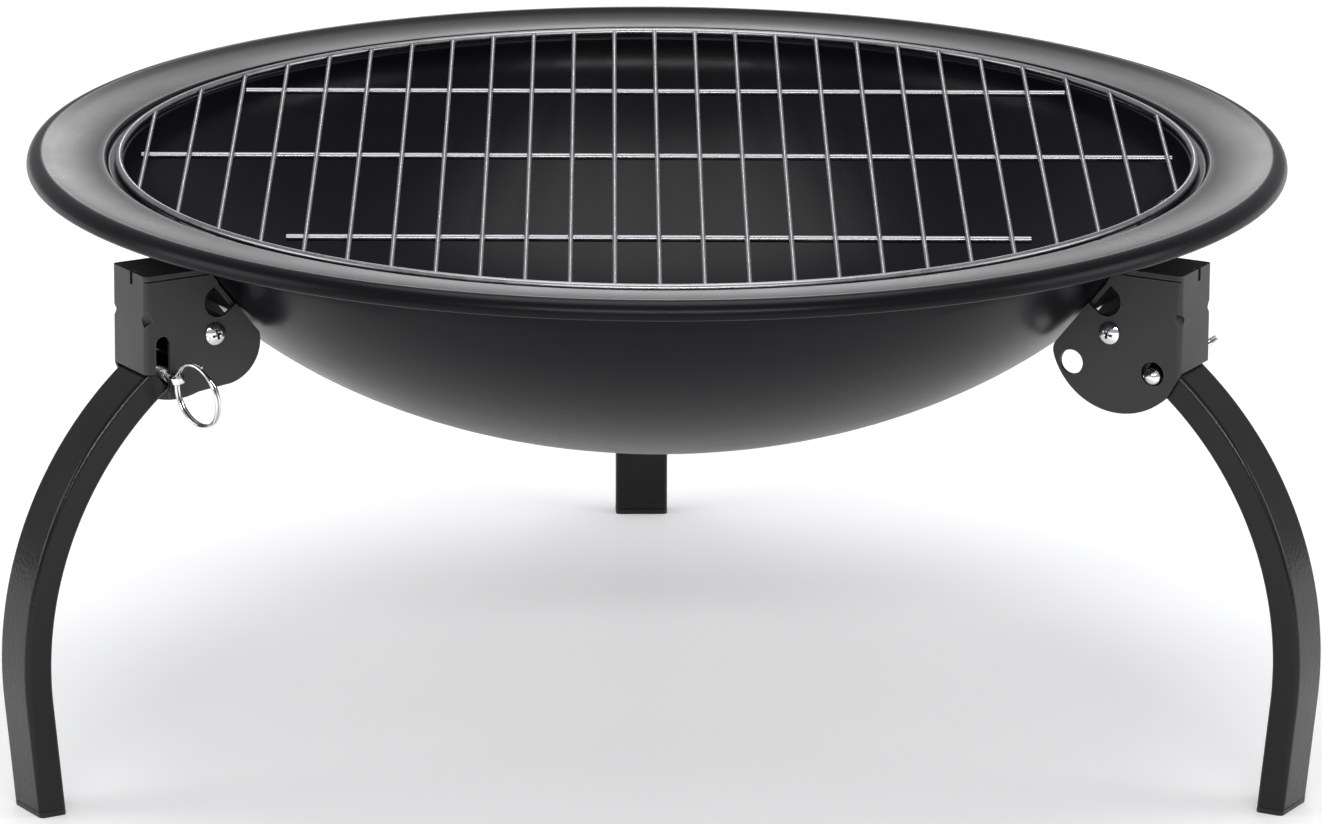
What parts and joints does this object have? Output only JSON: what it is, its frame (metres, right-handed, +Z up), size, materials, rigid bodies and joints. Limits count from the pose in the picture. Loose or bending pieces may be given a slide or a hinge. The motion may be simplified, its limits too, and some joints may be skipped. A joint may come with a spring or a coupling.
{
  "type": "portable fire pit",
  "caption": "Portable round fire pit: a black steel bowl on folding curved legs with sprung lock pins, and a chrome wire cooking grate.",
  "frame": {"origin": "on the floor, under the middle of the overall box; the bowl's axis stands 22.3 mm from it towards -Y", "axes": "+Z up; +Y from the bowl's axis to the leg at the back; +X to the right of it, seen from the front"},
  "size_m": [0.5724, 0.6046, 0.26],
  "materials": {
    "bowl_paint": "satin high-temperature paint",
    "leg_paint": "gloss powder coat",
    "chrome_wire": "bright plated, welded wire",
    "chrome_fixings": "bright plated",
    "zinc_fixings": "zinc plated",
    "plug_plastic": "moulded, matte"
  },
  "bodies": {
    "bowl": {"fire_bowl": "bowl_paint", "leg_bracket_1": "bowl_paint", "pivot_sleeve_1": "chrome_fixings", "pivot_screw_1": "chrome_fixings", "lock_spring_1": "zinc_fixings", "leg_bracket_2": "bowl_paint", "pivot_sleeve_2": "chrome_fixings", "pivot_screw_2": "chrome_fixings", "lock_spring_2": "zinc_fixings", "leg_bracket_3": "bowl_paint", "pivot_sleeve_3": "chrome_fixings", "pivot_screw_3": "chrome_fixings", "lock_spring_3": "zinc_fixings", "bowl_bolt_1a": "zinc_fixings", "bowl_nut_1a": "zinc_fixings", "bowl_bolt_1b": "zinc_fixings", "bowl_nut_1b": "zinc_fixings", "bowl_bolt_2a": "zinc_fixings", "bowl_nut_2a": "zinc_fixings", "bowl_bolt_2b": "zinc_fixings", "bowl_nut_2b": "zinc_fixings", "bowl_bolt_3a": "zinc_fixings", "bowl_nut_3a": "zinc_fixings", "bowl_bolt_3b": "zinc_fixings", "bowl_nut_3b": "zinc_fixings"},
    "grate": {"cooking_grate": "chrome_wire"},
    "leg_1": {"leg_1": "leg_paint", "leg_foot_plug_1": "plug_plastic"},
    "lock_pin_1": {"lock_pin_1": "chrome_fixings"},
    "pull_ring_1": {"pull_ring_1": "chrome_fixings"},
    "leg_2": {"leg_2": "leg_paint", "leg_foot_plug_2": "plug_plastic"},
    "lock_pin_2": {"lock_pin_2": "chrome_fixings"},
    "pull_ring_2": {"pull_ring_2": "chrome_fixings"},
    "leg_3": {"leg_3": "leg_paint", "leg_foot_plug_3": "plug_plastic"},
    "lock_pin_3": {"lock_pin_3": "chrome_fixings"},
    "pull_ring_3": {"pull_ring_3": "chrome_fixings"}
  },
  "joints": [
    {"name": "grate_lift", "type": "slide", "parent": "bowl", "child": "grate", "axis": [0, 0, 1], "range_m": [0, 0.25]},
    {"name": "leg_fold_1", "type": "hinge", "parent": "bowl", "child": "leg_1", "pos_m": [0, 0.20971, 0.2068], "axis": [-1, 0, 0], "range_deg": [0, 85]},
    {"name": "lock_pull_1", "type": "slide", "parent": "bowl", "child": "lock_pin_1", "axis": [-1, 0, 0], "range_m": [0, 0.008], "stiffness_N_per_m": 300, "springref_m": -0.003, "deforming": ["lock_spring_1"]},
    {"name": "ring_swing_1", "type": "hinge", "parent": "lock_pin_1", "child": "pull_ring_1", "pos_m": [-0.0187, 0.23041, 0.1899], "axis": [0, 0.1392, 0.9903], "range_deg": [-100, 70]},
    {"name": "leg_fold_2", "type": "hinge", "parent": "bowl", "child": "leg_2", "pos_m": [-0.20092, -0.13829, 0.2068], "axis": [0.5, -0.866, 0], "range_deg": [0, 85]},
    {"name": "lock_pull_2", "type": "slide", "parent": "bowl", "child": "lock_pin_2", "axis": [0.5, -0.866, 0], "range_m": [0, 0.008], "stiffness_N_per_m": 300, "springref_m": -0.003, "deforming": ["lock_spring_2"]},
    {"name": "ring_swing_2", "type": "hinge", "parent": "lock_pin_2", "child": "pull_ring_2", "pos_m": [-0.20949, -0.16483, 0.1899], "axis": [-0.1205, -0.0696, 0.9903], "range_deg": [-100, 70]},
    {"name": "leg_fold_3", "type": "hinge", "parent": "bowl", "child": "leg_3", "pos_m": [0.20092, -0.13829, 0.2068], "axis": [0.5, 0.866, 0], "range_deg": [0, 85]},
    {"name": "lock_pull_3", "type": "slide", "parent": "bowl", "child": "lock_pin_3", "axis": [0.5, 0.866, 0], "range_m": [0, 0.008], "stiffness_N_per_m": 300, "springref_m": -0.003, "deforming": ["lock_spring_3"]},
    {"name": "ring_swing_3", "type": "hinge", "parent": "lock_pin_3", "child": "pull_ring_3", "pos_m": [0.2282, -0.13244, 0.1899], "axis": [0.6634, -0.383, 0.6428], "range_deg": [-93, 77]}
  ]
}
